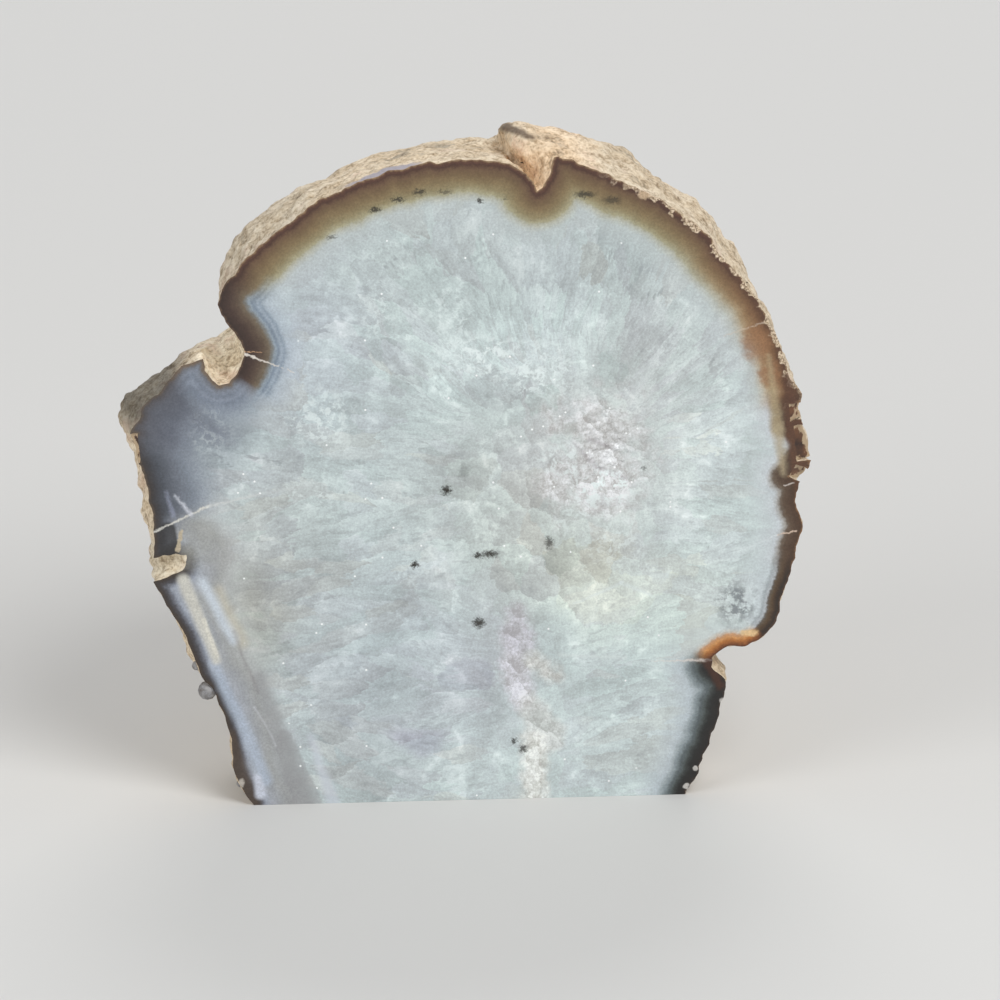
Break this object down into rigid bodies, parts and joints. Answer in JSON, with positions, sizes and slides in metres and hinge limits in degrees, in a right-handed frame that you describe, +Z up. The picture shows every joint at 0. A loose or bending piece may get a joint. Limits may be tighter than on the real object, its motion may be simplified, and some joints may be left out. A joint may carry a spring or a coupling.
{
  "type": "polished agate",
  "caption": "Upright agate nodule half with a flat polished face, a milky quartz heart inside a banded rim, a rough lobed rind behind and a flat sawn base to stand on.",
  "frame": {"origin": "under the middle of the stone's bounding box, on the plane of the sawn base", "axes": "+Z up, the polished face looks along -Y, +X to the right as the polished face is seen"},
  "size_m": [0.1248, 0.0598, 0.1247],
  "materials": {
    "agate": "face ground and polished to a gloss, base sawn and matt, rind left rough as it grew"
  },
  "bodies": {
    "root": {"agate": "agate"}
  },
  "joints": []
}
